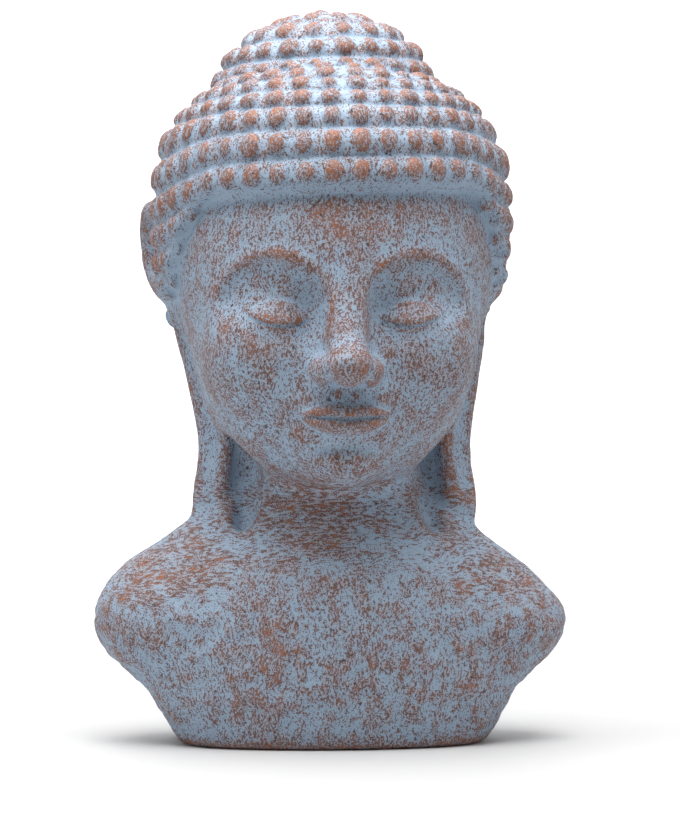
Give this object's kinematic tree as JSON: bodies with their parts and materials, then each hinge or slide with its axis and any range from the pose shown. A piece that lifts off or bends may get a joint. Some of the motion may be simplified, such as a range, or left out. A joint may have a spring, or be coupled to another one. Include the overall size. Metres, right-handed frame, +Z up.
{
  "type": "cast bust with a curled head",
  "caption": "Cast bust of a calm head with rows of round curls, a bun of curls, long ear lobes and bare shoulders, in copper under a rubbed pale blue wash.",
  "frame": {"origin": "middle of the flat underside, at the bottom of the bounding box", "axes": "+Z up along the height, the face looks along -Y, shoulders along X"},
  "size_m": [0.1796, 0.159, 0.28],
  "materials": {
    "patina": "cast stone body under copper paint, with a pale blue-grey wash rubbed back to the copper on curls, brows and edges; satin, rough"
  },
  "bodies": {
    "root": {"bust": "patina"}
  },
  "joints": []
}
